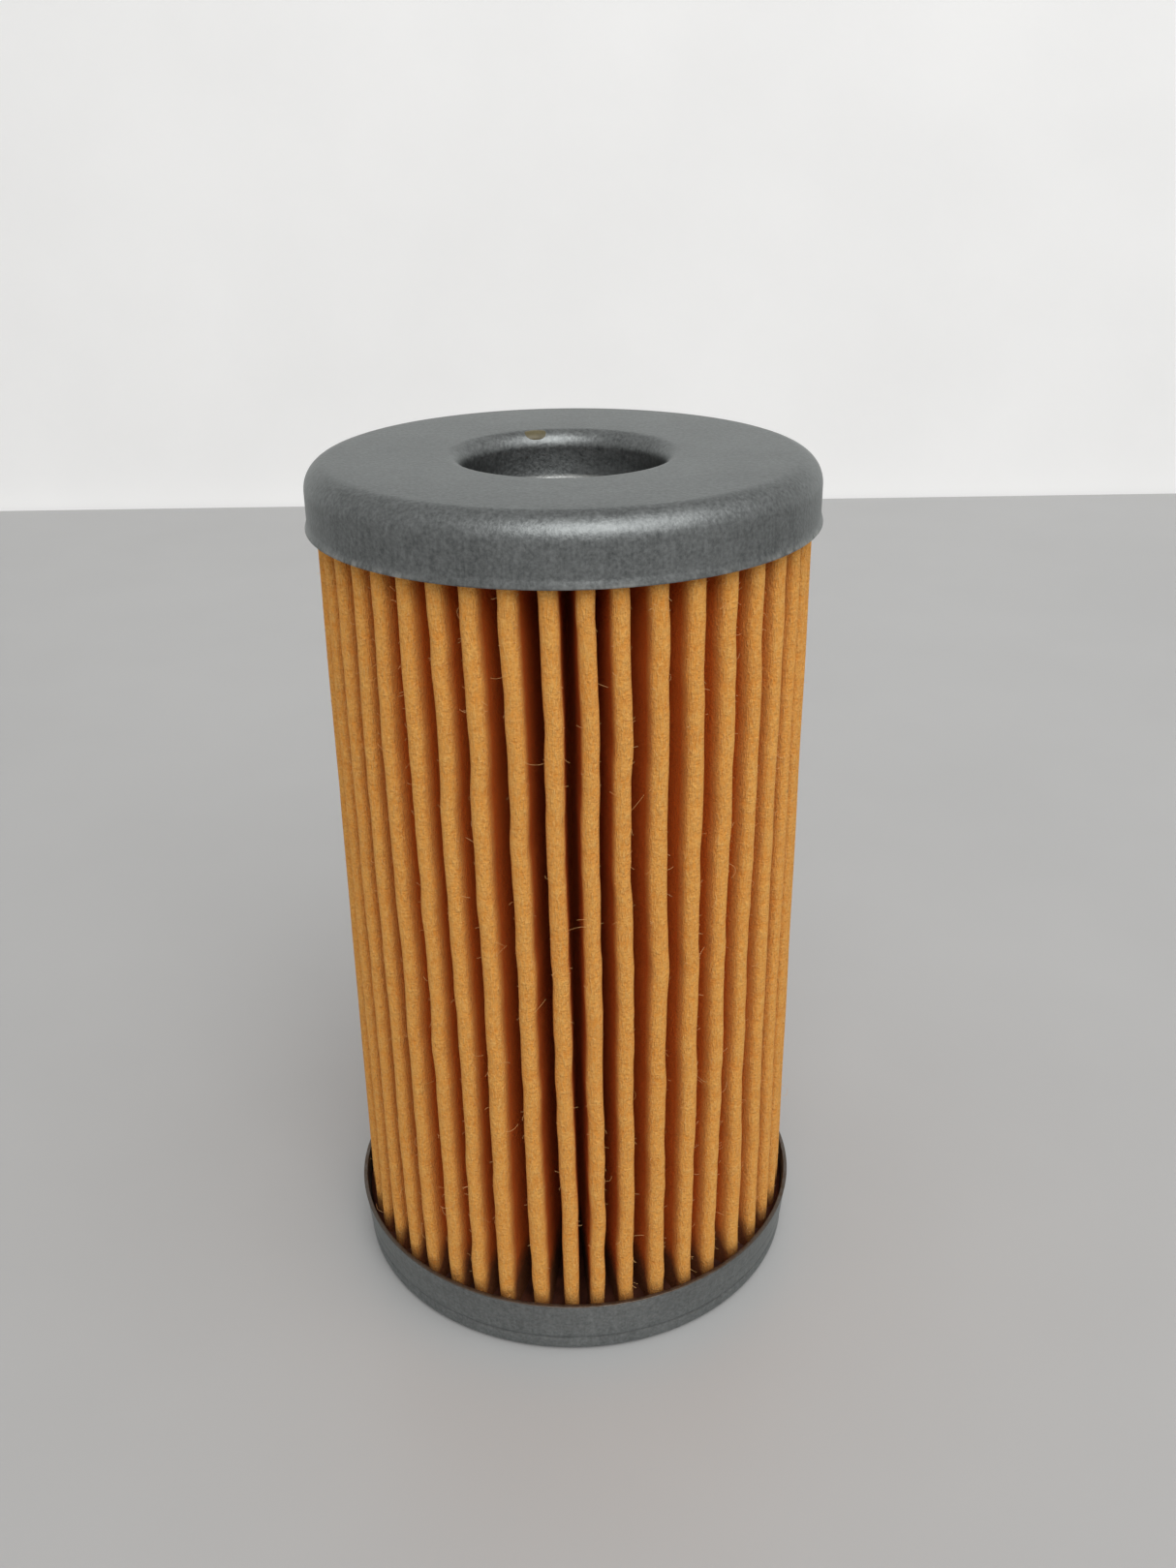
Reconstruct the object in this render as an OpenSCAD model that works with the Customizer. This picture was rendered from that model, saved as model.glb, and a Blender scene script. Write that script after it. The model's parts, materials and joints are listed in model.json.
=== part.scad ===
// Cartridge fuel filter element: a pleated paper ring on a perforated centre tube,
// potted into two drawn steel end caps. The top cap has a necked outlet bore, and the
// bottom cap is closed and has a pressed seat for the bowl's spring.
// The element stands on z = 0, and its axis is Z.

/* [Overall] */
// Height over both end caps
overall_h = 79; // [70:1:110]
// Thickness of the end caps' and centre tube's steel sheet
sheet = 0.4; // [0.3:0.05:0.5]

/* [Top cap] */
// Outer diameter of the top cap's skirt, above its lip
top_wall_d = 43.4; // [43.2:0.1:44]
// How far the top cap's lip flares out beyond the skirt
top_lip_out = 0.2; // [0.1:0.05:0.5]
// Height of the top cap's skirt, lip included
top_skirt_h = 5.4; // [4.6:0.1:8]
// Outside radius of the shoulder between top face and skirt
top_shoulder_r = 2.2; // [1:0.1:3]
// Diameter of the outlet bore
bore_d = 17.2; // [16.4:0.1:17.4]
// Radius of the roll between top face and bore
roll_r = 1.45; // [1:0.05:1.6]
// Depth of the neck's lower edge below the top face
neck_depth = 4.1; // [3:0.1:8]

/* [Bottom cap] */
// Outer diameter of the bottom cap's skirt at its foot
bottom_wall_d = 42.9; // [42.9:0.1:43.5]
// How far the bottom cap's skirt leans out between its foot and its lip
bottom_lean_out = 0.4; // [0:0.05:0.6]
// How far the bottom cap's lip flares out beyond the leaning skirt
bottom_lip_out = 0.15; // [0.05:0.05:0.4]
// Height of the bottom cap's skirt, lip included
bottom_skirt_h = 5.75; // [5:0.25:8]
// Outside radius of the corner between base and skirt
bottom_corner_r = 0.7; // [0.5:0.1:0.9]
// Height of the pressed line round the skirt
line_z = 1.6; // [1.5:0.1:2.5]
// Depth of the pressed line
line_depth = 0.1; // [0.05:0.05:0.15]
// Diameter of the spring seat in the base
seat_d = 16; // [12:0.5:16]
// Depth of the spring seat
seat_depth = 2.4; // [2:0.1:3]

/* [Filter paper] */
// Number of folds that point outwards, the seam fold included
pleats = 44; // [40:1:45]
// Thickness of the paper
paper_t = 0.6; // [0.5:0.05:0.6]
// Diameter over the outer folds
paper_od = 42.14; // [40:0.02:42.18]
// Gap inside an outer fold
fold_gap = 0.3; // [0.1:0.05:0.4]
// Gap inside an inner fold
inner_fold_gap = 0.16; // [0.1:0.02:0.2]
// Radial depth of the adhesive that closes the side seam
seam_depth = 5; // [3:0.5:7]

/* [Centre tube] */
// Outer diameter of the perforated centre tube
tube_d = 19; // [18.8:0.1:19.1]
// Diameter of the tube's holes
hole_d = 3.5; // [2:0.5:4]
// Holes in each row
holes_per_row = 6; // [4:1:7]
// Number of rows of holes
hole_rows = 12; // [6:1:12]
// Width of the gap where the tube's rolled edges meet
slit_w = 0.3; // [0.2:0.1:0.6]

/* [Potting] */
// Depth of the adhesive in the top cap
top_potting_h = 2.8; // [2:0.1:3.5]
// Depth of the adhesive in the bottom cap
bottom_potting_h = 3; // [2:0.1:4]
// Depth of the adhesive under each end of the paper
bedding = 0.6; // [0.6:0.1:1]

/* [Hidden] */
$fn = 96;

lip_h = 1;
lip_steps = 5;
arc_steps = 8;
fold_steps = 6;
line_half_h = 0.25;
seat_entry_r = 0.6;
seat_fillet_r = 0.3;
hole_phase = 1 / 4;
hole_cut = 3 * sheet;

top_wall_r = top_wall_d / 2;
bottom_wall_r = bottom_wall_d / 2;
bore_r = bore_d / 2;
roll_c = bore_r + roll_r;
seat_r = seat_d / 2;
tube_r = tube_d / 2;
tube_bore_r = tube_r - sheet;

paper_z = sheet + bedding;
paper_h = overall_h - 2 * paper_z;
tube_top_clearance = 0.4;
tube_h = paper_h - tube_top_clearance;
tube_clearance = 0.1;
tube_first_row = 6;

// The paper's neutral line: outer folds of radius tip_r, inner folds of radius root_r.
half_t = paper_t / 2;
half_pitch = 180 / pleats;
tip_r = half_t + fold_gap / 2;
root_r = half_t + inner_fold_gap / 2;
tip_c = paper_od / 2 - tip_r - half_t;
root_c = tube_r + tube_clearance + root_r + half_t;
seam_azimuth = 90 + half_pitch;
seam_cut = 0.1;

// A fold's straight leg is tangent to the outer fold on one side and to the inner
// fold on the other. leg_a is its direction, counted from the fold's own radius.
root_p = root_c * [cos(half_pitch), sin(half_pitch)];
centres = [tip_c, 0] - root_p;
leg_a = atan2(centres.y, centres.x) + asin((tip_r + root_r) / norm(centres));

function arc(c, r, from, to, steps = arc_steps) =
  [for (i = [0:steps]) let (a = from + (to - from) * i / steps) c + r * [cos(a), sin(a)]];

function turned(points, a) =
  [for (p = points) [p.x * cos(a) - p.y * sin(a), p.x * sin(a) + p.y * cos(a)]];

function reversed(points) = [for (i = [len(points) - 1:-1:0]) points[i]];

// Section of a cap's shoulder, skirt and flared lip. The cap's outer face is at z = 0,
// and its open side points down. inset 0 is the outer surface, and sheet the inner one.
function skirt_line(wall_r, corner_r, skirt_h, lip_out, inset, lean_out = 0) = concat(
  arc([wall_r - corner_r, -corner_r], corner_r - inset, 90, 0),
  [for (i = [0:lip_steps]) let (t = i / lip_steps)
    [wall_r + lean_out - inset + lip_out * t * t, -(skirt_h - lip_h) - lip_h * t]]
);

// Outer radius of the bottom cap's leaning skirt at height z
function bottom_skirt_r(z) =
  bottom_wall_r
  + bottom_lean_out * (z - bottom_corner_r) / (bottom_skirt_h - lip_h - bottom_corner_r);

function bottom_skirt_line(inset) = skirt_line(
  bottom_wall_r, bottom_corner_r, bottom_skirt_h, bottom_lip_out, inset, bottom_lean_out);

function top_section() = concat(
  [[bore_r, -neck_depth]],
  arc([roll_c, -roll_r], roll_r, 180, 90),
  skirt_line(top_wall_r, top_shoulder_r, top_skirt_h, top_lip_out, 0),
  reversed(skirt_line(top_wall_r, top_shoulder_r, top_skirt_h, top_lip_out, sheet)),
  arc([roll_c, -roll_r], roll_r - sheet, 90, 180),
  [[bore_r + sheet, -neck_depth]]
);

function bottom_section() =
  let (
    entry = [seat_r + seat_entry_r, -seat_entry_r],
    fillet = [seat_r - seat_fillet_r, -seat_depth + seat_fillet_r],
    outer = bottom_skirt_line(0),
    line_foot = line_z - line_half_h,
    line_top = line_z + line_half_h,
    pressed_line = [
      [bottom_skirt_r(line_foot), -line_foot],
      [bottom_skirt_r(line_z) - line_depth, -line_z],
      [bottom_skirt_r(line_top), -line_top]
    ]
  )
  concat(
    [[0, -seat_depth]],
    arc(fillet, seat_fillet_r, -90, 0),
    arc(entry, seat_entry_r, 180, 90),
    [for (i = [0:arc_steps]) outer[i]],
    pressed_line,
    [for (i = [arc_steps + 1:len(outer) - 1]) outer[i]],
    reversed(bottom_skirt_line(sheet)),
    arc(entry, seat_entry_r - sheet, 90, 180),
    arc(fillet, seat_fillet_r + sheet, 0, -90),
    [[0, -seat_depth - sheet]]
  );

// One face of the paper round an outer fold and round the inner fold after it. side is
// +1 for the dirty side, which faces outwards, and -1 for the clean side.
function tip_face(side) =
  arc([tip_c, 0], tip_r + side * half_t, -90 - leg_a, 90 + leg_a, fold_steps);
function root_face(side) =
  arc(root_p, root_r - side * half_t, leg_a - 90, 2 * half_pitch - leg_a - 270, fold_steps);

// The cut edge of the sheet at the seam, on the leg that follows or precedes the seam.
function seam_edge(side, leg) =
  let (
    along = [cos(leg_a), sin(leg_a)],
    across = [-sin(leg_a), cos(leg_a)],
    start = [tip_c, 0] + (tip_r + side * half_t) * across,
    p = start + (paper_od / 2 - seam_cut - start.x) / along.x * along
  )
  [p.x, leg * p.y];

function paper_face(side) = concat(
  [seam_edge(side, 1)],
  root_face(side),
  [for (k = [1:pleats - 1])
    each turned(concat(tip_face(side), root_face(side)), 2 * half_pitch * k)],
  [seam_edge(side, -1)]
);

// The corner of the seam's adhesive that lies deepest between the two end legs
function seam_root(leg) =
  let (p = seam_edge(-1, leg)) [p.x - seam_depth, p.y - leg * seam_depth * tan(leg_a)];

module cap_steel() color([0.49, 0.51, 0.52]) children();

module media_outline() {
  rotate(seam_azimuth) polygon(concat(paper_face(1), reversed(paper_face(-1))));
}

module seam_outline() {
  rotate(seam_azimuth)
    polygon([seam_edge(-1, 1), seam_edge(-1, -1), seam_root(-1), seam_root(1)]);
}

// Paper and seam adhesive as one closed ring
module closed_media_outline() {
  clean = paper_face(-1);
  rotate(seam_azimuth) difference() {
    polygon(paper_face(1));
    polygon(concat(
      [seam_root(1)], [for (i = [1:len(clean) - 2]) clean[i]], [seam_root(-1)]));
  }
}

// The tube is rolled from a strip of sheet, and a narrow slit stays open at its joint.
module tube_wall() {
  slit_angle = slit_w / tube_r * 180 / PI;
  rotate(slit_angle / 2) rotate_extrude(angle = 360 - slit_angle)
    translate([tube_bore_r, 0]) square([sheet, tube_h]);
}

// Everything that is set into the potting, at its place in the element
module potted_pieces() {
  translate([0, 0, paper_z]) {
    linear_extrude(paper_h) closed_media_outline();
    tube_wall();
  }
}

module top_end_cap() {
  cap_steel() translate([0, 0, overall_h]) rotate_extrude() polygon(top_section());
}

module bottom_end_cap() {
  cap_steel() mirror([0, 0, 1]) rotate_extrude() polygon(bottom_section());
}

module filter_media() {
  color([0.86, 0.56, 0.22])
    translate([0, 0, paper_z]) linear_extrude(paper_h) media_outline();
}

module side_seam_adhesive() {
  color([0.88, 0.82, 0.66])
    translate([0, 0, paper_z]) linear_extrude(paper_h) seam_outline();
}

module centre_tube() {
  row_pitch = (tube_h - 2 * tube_first_row) / (hole_rows - 1);
  hole_pitch = 360 / holes_per_row;
  color([0.62, 0.63, 0.64]) translate([0, 0, paper_z]) difference() {
    tube_wall();
    for (row = [0:hole_rows - 1], i = [0:holes_per_row - 1])
      rotate((i + hole_phase + (row % 2) / 2) * hole_pitch)
        translate([tube_bore_r - sheet, 0, tube_first_row + row * row_pitch])
          rotate([0, 90, 0]) cylinder(d = hole_d, h = hole_cut);
  }
}

module top_potting() {
  corner_c = [top_wall_r - top_shoulder_r, -top_shoulder_r];
  section = concat(
    [[tube_r, -sheet - top_potting_h], [top_wall_r - sheet, -sheet - top_potting_h]],
    arc(corner_c, top_shoulder_r - sheet, 0, 90),
    [[roll_c, -sheet], [tube_r, -roll_r]]
  );
  color([0.33, 0.21, 0.10]) difference() {
    translate([0, 0, overall_h]) rotate_extrude() polygon(section);
    potted_pieces();
  }
}

module bottom_potting() {
  corner_c = [bottom_wall_r - bottom_corner_r, bottom_corner_r];
  seat_wall_r = seat_r + sheet;
  inner_level = seat_depth - sheet;
  top_level = sheet + bottom_potting_h;
  section = concat(
    [[seat_r + seat_entry_r, sheet]],
    arc(corner_c, bottom_corner_r - sheet, -90, 0),
    [
      [bottom_skirt_r(top_level) - sheet, top_level],
      [tube_bore_r, top_level],
      [tube_bore_r, inner_level],
      [seat_wall_r, inner_level],
      [seat_wall_r, seat_entry_r]
    ]
  );
  color([0.33, 0.21, 0.10]) difference() {
    rotate_extrude() polygon(section);
    potted_pieces();
  }
}

top_end_cap();
bottom_end_cap();
filter_media();
side_seam_adhesive();
centre_tube();
top_potting();
bottom_potting();
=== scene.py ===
import json
import math
import random

import bmesh
import bpy
from mathutils import Matrix, Vector, noise


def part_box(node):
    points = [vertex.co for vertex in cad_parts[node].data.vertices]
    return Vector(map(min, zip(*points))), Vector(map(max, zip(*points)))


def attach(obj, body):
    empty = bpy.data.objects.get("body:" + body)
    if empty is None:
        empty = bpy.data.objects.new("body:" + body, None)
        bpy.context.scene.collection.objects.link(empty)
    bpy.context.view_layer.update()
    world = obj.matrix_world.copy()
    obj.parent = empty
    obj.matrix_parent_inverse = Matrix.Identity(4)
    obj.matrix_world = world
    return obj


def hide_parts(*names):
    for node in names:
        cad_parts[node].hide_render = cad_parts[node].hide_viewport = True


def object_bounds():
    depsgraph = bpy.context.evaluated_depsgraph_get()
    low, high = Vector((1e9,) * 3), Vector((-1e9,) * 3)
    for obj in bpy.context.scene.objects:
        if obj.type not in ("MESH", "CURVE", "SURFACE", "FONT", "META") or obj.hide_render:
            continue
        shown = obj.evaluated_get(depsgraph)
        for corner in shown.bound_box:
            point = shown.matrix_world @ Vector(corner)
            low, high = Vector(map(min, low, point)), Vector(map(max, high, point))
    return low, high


mm = 0.001
weld = 0.002 * mm
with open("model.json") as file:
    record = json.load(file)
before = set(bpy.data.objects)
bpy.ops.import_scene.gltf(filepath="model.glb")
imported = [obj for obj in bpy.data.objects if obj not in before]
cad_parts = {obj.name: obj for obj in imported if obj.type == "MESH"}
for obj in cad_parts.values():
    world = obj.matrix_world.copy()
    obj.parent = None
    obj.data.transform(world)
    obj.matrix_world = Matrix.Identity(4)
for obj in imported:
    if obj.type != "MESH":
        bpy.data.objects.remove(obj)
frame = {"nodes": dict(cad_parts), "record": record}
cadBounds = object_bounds()
nodes = frame["nodes"]
print("frame loaded:", sorted(nodes))


# small helpers

def boreRadius(mountName):
    mount = next(m for m in frame["record"]["mounts"] if m["name"] == mountName)
    return mount["dims"]["r_mm"] * mm


def roundedLine(corners, arcSteps):
    # corners are (radius from the axis, height, fillet), where a fillet of 0 stays sharp;
    # arcSteps is for a fillet of a quarter turn
    spots = [Vector(corner[:2]) for corner in corners]
    line = []
    for i, (spot, corner) in enumerate(zip(spots, corners)):
        if not corner[2]:
            line.append(spot)
            continue
        back = (spots[i - 1] - spot).normalized()
        ahead = (spots[i + 1] - spot).normalized()
        half = back.angle(ahead) / 2
        centre = spot + (back + ahead).normalized() * corner[2] / math.sin(half)
        arm = spot + back * corner[2] / math.tan(half) - centre
        turn = (math.pi - 2 * half) * (1 if back.x * ahead.y - back.y * ahead.x < 0 else -1)
        count = max(2, math.ceil(arcSteps * abs(turn) / math.radians(90)))
        for step in range(count + 1):
            line.append(centre + Matrix.Rotation(turn * step / count, 2) @ arm)
    return line


def spinLine(line, steps, closed=False):
    bm = bmesh.new()
    verts = [bm.verts.new((spot.x, 0, spot.y)) for spot in line]
    for a, b in zip(verts, verts[1:] + verts[:1] if closed else verts[1:]):
        bm.edges.new((a, b))
    bmesh.ops.spin(bm, geom=bm.verts[:] + bm.edges[:], cent=(0, 0, 0), axis=(0, 0, 1),
                   angle=math.tau, steps=steps, use_merge=True)
    bmesh.ops.remove_doubles(bm, verts=bm.verts[:], dist=weld)
    bmesh.ops.recalc_face_normals(bm, faces=bm.faces[:])
    return bm


def roundFromFront(radius, degrees, z):
    angle = math.radians(degrees)
    return Vector((radius * math.sin(angle), -radius * math.cos(angle), z))


def addPiece(name, bm, material, replaced=(), sharpAbove=40):
    mesh = bpy.data.meshes.new(name)
    bm.to_mesh(mesh)
    bm.free()
    piece = bpy.data.objects.new(name, mesh)
    bpy.context.scene.collection.objects.link(piece)
    mesh.materials.append(material)
    mesh.shade_smooth()
    mesh.set_sharp_from_angle(angle=math.radians(sharpAbove))
    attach(piece, "root")
    if replaced:
        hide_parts(*replaced)
    return piece


def bakeModifiers(piece, sharpAbove=40):
    shaped = piece.evaluated_get(bpy.context.evaluated_depsgraph_get())
    mesh = bpy.data.meshes.new_from_object(shaped)
    piece.modifiers.clear()
    piece.data = mesh
    mesh.shade_smooth()
    mesh.set_sharp_from_angle(angle=math.radians(sharpAbove))
    return piece


# helpers for materials

def fillSockets(tree, node, values):
    for key, value in values.items():
        if isinstance(value, bpy.types.NodeSocket):
            tree.links.new(value, node.inputs[key])
        else:
            node.inputs[key].default_value = value


def addNode(tree, kind, inputs=None, **settings):
    node = tree.nodes.new(kind)
    for key, value in settings.items():
        setattr(node, key, value)
    fillSockets(tree, node, inputs or {})
    return node


def newMaterial(name):
    material = bpy.data.materials.new(name)
    material.use_nodes = True
    tree = material.node_tree
    tree.nodes.clear()
    shader = addNode(tree, "ShaderNodeBsdfPrincipled")
    addNode(tree, "ShaderNodeOutputMaterial", {"Surface": shader.outputs["BSDF"]})
    return material, tree, shader


def objectPlace(tree):
    return addNode(tree, "ShaderNodeTexCoord").outputs["Object"]


def distanceFromAxis(tree, parts):
    flat = addNode(tree, "ShaderNodeCombineXYZ",
                   {"X": parts.outputs["X"], "Y": parts.outputs["Y"]})
    length = addNode(tree, "ShaderNodeVectorMath", {0: flat.outputs["Vector"]}, operation="LENGTH")
    return length.outputs["Value"]


def fromTo(tree, value, low, high, newLow=0.0, newHigh=1.0):
    # a number stretched from one range to another, and held at its ends
    inputs = {"Value": value, "From Min": low, "From Max": high, "To Min": newLow, "To Max": newHigh}
    return addNode(tree, "ShaderNodeMapRange", inputs).outputs["Result"]


def evened(tree, value, newLow=0.0, newHigh=1.0, margin=0.3):
    # a noise seldom leaves the middle of its range, so the middle is what counts
    return fromTo(tree, value, margin, 1 - margin, newLow, newHigh)


def mixColours(tree, share, first, second):
    node = addNode(tree, "ShaderNodeMix", data_type="RGBA")
    fillSockets(tree, node, {0: share, 6: first, 7: second})
    return node.outputs[2]


def combine(tree, operation, *values):
    inputs = dict(enumerate(values))
    return addNode(tree, "ShaderNodeMath", inputs, operation=operation).outputs[0]


def add(tree, a, b):
    return combine(tree, "ADD", a, b)


def times(tree, a, b):
    return combine(tree, "MULTIPLY", a, b)


def grainNoise(tree, where, size, detail=3.0, roughness=0.6, stretch=(1, 1, 1), turn=0.0):
    # size is about how wide one patch of the noise is
    mapping = addNode(tree, "ShaderNodeMapping", {"Vector": where, "Scale": stretch,
                                                  "Rotation": (0, 0, math.radians(turn))})
    inputs = {"Vector": mapping.outputs["Vector"], "Scale": 1 / size,
              "Detail": detail, "Roughness": roughness}
    return addNode(tree, "ShaderNodeTexNoise", inputs).outputs["Fac"]


def bumpFrom(tree, relief, strength, depth, under=None):
    inputs = {"Height": relief, "Strength": strength, "Distance": depth}
    if under:
        inputs["Normal"] = under
    return addNode(tree, "ShaderNodeBump", inputs).outputs["Normal"]


# zinc-plated steel of the caps

zinc = {
    "dark": (0.105, 0.112, 0.112, 1),
    "light": (0.325, 0.340, 0.338, 1),
    "worn": (0.50, 0.51, 0.49, 1),
    "bright": (0.40, 0.41, 0.40, 1),
    "stain": (0.11, 0.078, 0.055, 1),
    "darkLine": (0.07, 0.07, 0.068, 1),
    "edgeTint": (0.93, 0.95, 0.945, 1),     # of what the metal mirrors at a low angle
    "mottle": 1.1 * mm,
    "cloud": 7 * mm,
    "grain": 0.30 * mm,
    "drawLines": 0.30 * mm,
    "drawStretch": 0.05,
    # how light each pattern makes the metal, at the least and at the most
    "mottleTone": (0, 0.24),
    "cloudTone": (0, 0.14),
    "grainTone": (0.04, 0.48),
    "drawTone": (0, 0.18),
    # size of the patches where an edge is marked, and where in the noise they start and end
    "patch": (9 * mm, 0.46, 0.60),
    "scuff": (0.8 * mm, 0.42, 0.62),
    "darkLinePatch": (2.2 * mm, 0.35, 0.6),
    "mottleRoughness": (0.36, 0.44),
    "grainRoughness": (0, 0.08),
    "bump": 0.5,
    "fineDepth": 0.045 * mm,
    "dentDepth": 0.10 * mm,
    "drawRelief": 0.5,                      # beside the grain's relief
    "mottleRelief": 0.12,                   # beside the clouds' relief
    # the neck's wall: where its painted shade and smoother finish start outwards and downwards, how
    # dark the painted shade makes it, and how dull it is
    "throatOut": (0.7 * mm, 0.1 * mm),
    "throatDown": (0.2 * mm, -1.0 * mm),
    "throatShade": 0.40,
    "throatDull": -0.06,
    "cutUp": (0.2 * mm, 0.4 * mm),          # height of the bright cut end, partly a raw edge and partly a painted highlight, and where it has faded
}


def zincSteel(name, spec, edgeHeight, edgeSide, darkLineHeight, neck=None):
    # edgeHeight is where the sheet's cut edge is, and edgeSide is +1 if the metal is above it
    material, tree, shader = newMaterial(name)
    where = objectPlace(tree)
    parts = addNode(tree, "ShaderNodeSeparateXYZ", {"Vector": where})
    height = parts.outputs["Z"]
    mottle = grainNoise(tree, where, zinc["mottle"], detail=5, roughness=0.7)
    cloud = grainNoise(tree, where, zinc["cloud"], detail=3)
    grain = grainNoise(tree, where, zinc["grain"], detail=2)
    drawn = grainNoise(tree, where, zinc["drawLines"], detail=3,
                       stretch=(1, 1, zinc["drawStretch"]))
    # painted light and shade: each cap's metal is shifted by its own amount for the light it gets,
    # the top cap darker and the bottom cap paler
    tone = spec["paler"]
    for pattern, share in ((mottle, "mottleTone"), (cloud, "cloudTone"),
                           (grain, "grainTone"), (drawn, "drawTone")):
        tone = add(tree, tone, evened(tree, pattern, *zinc[share]))
    colour = mixColours(tree, tone, zinc["dark"], zinc["light"])

    # the cut edge, marked more in some places than in others
    size, start, end = zinc["patch"]
    patch = fromTo(tree, grainNoise(tree, where, size, detail=2), start, end)
    size, start, end = zinc["scuff"]
    scuff = fromTo(tree, grainNoise(tree, where, size, detail=4, stretch=(1, 1, 0.5)), start, end)
    edgeColour, edgeWidth, evenness = spec["edgeMark"]
    edge = fromTo(tree, height, edgeHeight, edgeHeight + edgeSide * edgeWidth, 1, 0)
    spread = fromTo(tree, times(tree, patch, scuff), 0, 1, evenness, 1)
    colour = mixColours(tree, times(tree, edge, spread), colour, zinc[edgeColour])

    # a dark line round the cap: on the bottom cap it is painted shade in the lowest pressed line, on
    # the top cap it runs along the lip's cut edge
    darkLineWidth, darkLineShare = spec["darkLine"]
    size, start, end = zinc["darkLinePatch"]
    line = combine(tree, "COMPARE", height, darkLineHeight, darkLineWidth)
    line = fromTo(tree, line, 0, 1, 0, darkLineShare)
    line = times(tree, line, fromTo(tree, grainNoise(tree, where, size, detail=4), start, end))
    colour = mixColours(tree, line, colour, zinc["darkLine"])
    rough = add(tree, evened(tree, mottle, *zinc["mottleRoughness"]),
                evened(tree, grain, *zinc["grainRoughness"]))
    if neck:
        # painted shade: the neck's wall down in the bore is darker than the rest; it is also
        # smoother, and its cut end is bright, partly a raw edge and partly a painted highlight
        neckRadius, neckEnd, neckTop = neck
        outFrom, outTo = (neckRadius + reach for reach in zinc["throatOut"])
        downFrom, downTo = (neckTop + reach for reach in zinc["throatDown"])
        cutTop, cutFaded = (neckEnd + reach for reach in zinc["cutUp"])
        throat = times(tree, fromTo(tree, distanceFromAxis(tree, parts), outFrom, outTo),
                       fromTo(tree, height, downFrom, downTo))
        rough = add(tree, rough, times(tree, throat, zinc["throatDull"]))
        colour = mixColours(tree, times(tree, throat, zinc["throatShade"]), colour, zinc["dark"])
        cut = times(tree, throat, fromTo(tree, height, cutTop, cutFaded, 1, 0))
        colour = mixColours(tree, cut, colour, zinc["bright"])
    fineRelief = add(tree, grain, times(tree, drawn, zinc["drawRelief"]))
    dentRelief = add(tree, cloud, times(tree, mottle, zinc["mottleRelief"]))
    fine = bumpFrom(tree, fineRelief, zinc["bump"], zinc["fineDepth"])
    fillSockets(tree, shader, {
        "Base Color": colour,
        "Metallic": 1.0,
        "Roughness": rough,
        "Specular Tint": zinc["edgeTint"],
        "Normal": bumpFrom(tree, dentRelief, zinc["bump"], zinc["dentDepth"], fine),
    })
    return material


# top end cap

topCap = {
    "sheet": 0.4 * mm,
    "lipOut": 0.2 * mm,         # how far the lip flares out beyond the skirt
    "lipBend": (0.7 * mm, 1.2 * mm),    # height above the lip's edge, and fillet
    "shoulder": 2.2 * mm,
    "roll": 1.45 * mm,
    "neck": 4.22 * mm,
    "neckCurl": (0.1 * mm, 0.18 * mm),  # how far the neck's end turns in, and over what height
    "cutEdge": 0.07 * mm,
    "steps": 224,
    "arcSteps": 12,
    "edgeMark": ("worn", 0.55 * mm, 0.05),  # colour, width, and how evenly it goes round
    "darkLine": (0.1 * mm, 0.3),               # width and strength
    # painted shade: the top cap's metal is made darker
    "paler": -0.1,
}


cutEdge = {"segments": 3, "sharpAbove": 55}


def drawnSheet(name, line, spec, material, node):
    bm = spinLine(line, spec["steps"])
    # the wall goes inwards, so the flat face furthest from the middle has to point away from it
    middle = cadBounds[1][2] / 2
    flatFaces = [face for face in bm.faces if abs(face.normal.z) > 0.9]
    outside = max(flatFaces, key=lambda face: abs(face.calc_center_median().z - middle))
    if (outside.normal.z > 0) != (outside.calc_center_median().z > middle):
        bmesh.ops.reverse_faces(bm, faces=bm.faces[:])
    piece = addPiece(name, bm, material, [node])
    wall = piece.modifiers.new("wall", "SOLIDIFY")
    wall.thickness = spec["sheet"]
    wall.offset = -1
    wall.use_even_offset = True
    edge = piece.modifiers.new("cutEdge", "BEVEL")
    edge.width = spec["cutEdge"]
    edge.segments = cutEdge["segments"]
    edge.limit_method = "ANGLE"
    edge.angle_limit = math.radians(cutEdge["sharpAbove"])
    return bakeModifiers(piece)


low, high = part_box("top_end_cap")
wallRadius = high.x - topCap["lipOut"]
bore = boreRadius("outlet_bore")
neckEnd = high.z - topCap["neck"]
curlIn, curlHeight = topCap["neckCurl"]
bendHeight, bendFillet = topCap["lipBend"]
topZinc = zincSteel("zincTop", topCap, low.z, 1, low.z, (bore, neckEnd, high.z - topCap["roll"]))
topLine = roundedLine([
    (bore - curlIn, neckEnd, 0),
    (bore, neckEnd + curlHeight, 0),
    (bore, high.z, topCap["roll"]),
    (wallRadius, high.z, topCap["shoulder"]),
    (wallRadius, low.z + bendHeight, bendFillet),
    (high.x, low.z, 0),
], topCap["arcSteps"])
drawnSheet("top_cap", topLine, topCap, topZinc, "top_end_cap")
print("top cap done")


# bottom end cap, closed, with the spring's seat

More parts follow.
